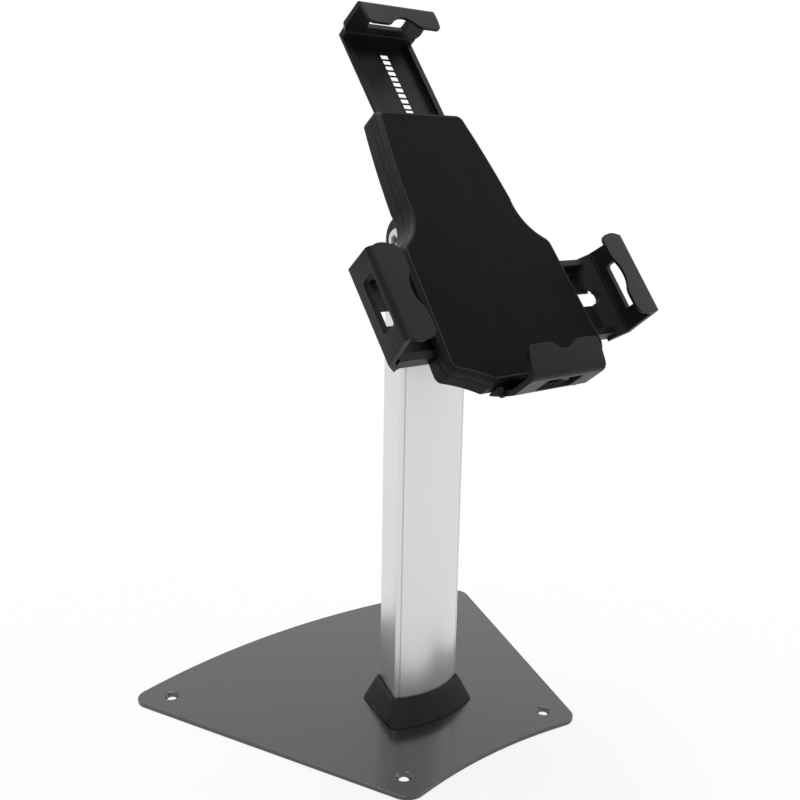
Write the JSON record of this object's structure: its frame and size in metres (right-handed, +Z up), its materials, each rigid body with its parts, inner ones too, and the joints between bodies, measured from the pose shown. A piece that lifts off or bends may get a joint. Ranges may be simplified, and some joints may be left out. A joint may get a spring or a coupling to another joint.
{
  "type": "desktop tablet stand",
  "caption": "Desktop tablet stand: flat fan-shaped plate, tall column, and a tilting, swivelling clamp with sliding jaws.",
  "frame": {"origin": "on the underside of the base plate, on the column's axis, below the tilt pivot", "axes": "+Z up the column, +X to the right of the holder, -Y the way the holder faces"},
  "size_m": [0.278, 0.248, 0.4219],
  "materials": {
    "plate_paint": "fine-textured powder coat",
    "column_metal": "satin anodised",
    "moulded_black": "fine moulded grain",
    "cast_black": "satin black paint",
    "bright_steel": "bright zinc plating",
    "washer_nylon": "plain nylon",
    "shell_black": "fine moulded grain",
    "pad_rubber": "smooth matt rubber",
    "jaw_black": "satin moulded",
    "grip_rubber": "ribbed soft rubber",
    "gear_plastic": "plain acetal"
  },
  "bodies": {
    "stand": {"base_plate": "plate_paint", "foot_collar": "moulded_black", "column": "column_metal", "column_foot_screws": "bright_steel", "column_cap": "cast_black", "cap_screws": "bright_steel", "tilt_bolt": "bright_steel", "nut_washer": "bright_steel", "tilt_nut": "bright_steel", "tilt_washers": "washer_nylon"},
    "knuckle": {"tilt_knuckle": "cast_black", "swivel_retainer": "bright_steel", "retainer_screws": "bright_steel"},
    "holder": {"rear_housing": "shell_black", "front_housing": "shell_black", "front_pad": "pad_rubber", "housing_screws": "bright_steel", "bottom_jaw": "jaw_black", "bottom_jaw_screws": "bright_steel", "bottom_jaw_pad": "grip_rubber", "pinion_axle": "bright_steel", "lock_barrel": "bright_steel", "swivel_washer": "washer_nylon"},
    "top_slider": {"top_arm": "jaw_black", "top_jaw_pad": "grip_rubber"},
    "right_slider": {"right_arm": "jaw_black", "right_jaw_pad": "grip_rubber"},
    "left_slider": {"left_arm": "jaw_black", "left_jaw_pad": "grip_rubber"},
    "pinion_gear": {"pinion": "gear_plastic"},
    "lock_core": {"lock_plug": "bright_steel"},
    "lock_pawl": {"pawl": "bright_steel"}
  },
  "joints": [
    {"name": "tilt", "type": "hinge", "parent": "stand", "child": "knuckle", "pos_m": [0, 0, 0.2937], "axis": [1, 0, 0], "range_deg": [-52.5, 37.5]},
    {"name": "swivel", "type": "hinge", "parent": "knuckle", "child": "holder", "pos_m": [0, 0, 0.2937], "axis": [0, -0.7934, 0.6088], "range_deg": [-90, 90]},
    {"name": "top_slide", "type": "slide", "parent": "holder", "child": "top_slider", "axis": [0, 0.6088, 0.7934], "range_m": [-0.044, 0.02]},
    {"name": "right_slide", "type": "slide", "parent": "holder", "child": "right_slider", "axis": [1, 0, 0], "range_m": [-0.02, 0.008]},
    {"name": "left_slide", "type": "slide", "parent": "holder", "child": "left_slider", "axis": [-1, 0, 0], "range_m": [-0.02, 0.008]},
    {"name": "pinion_turn", "type": "hinge", "parent": "holder", "child": "pinion_gear", "pos_m": [0, -0.05865, 0.2608], "axis": [0, -0.7934, 0.6088], "range_deg": [-240, 96]},
    {"name": "lock_turn", "type": "hinge", "parent": "holder", "child": "lock_core", "pos_m": [0.0033, 0.009, 0.33582], "axis": [0, -0.7934, 0.6088], "range_deg": [0, 90]},
    {"name": "pawl_slide", "type": "slide", "parent": "holder", "child": "lock_pawl", "axis": [0, -0.7934, 0.6088], "range_m": [0, 0.0024]}
  ],
  "couplings": [
    {"joint": "left_slide", "follows": "right_slide", "ratio": 1},
    {"joint": "pinion_turn", "follows": "right_slide", "rad_per_m": 208.33},
    {"joint": "lock_turn", "follows": "pawl_slide", "rad_per_m": 654.5}
  ]
}
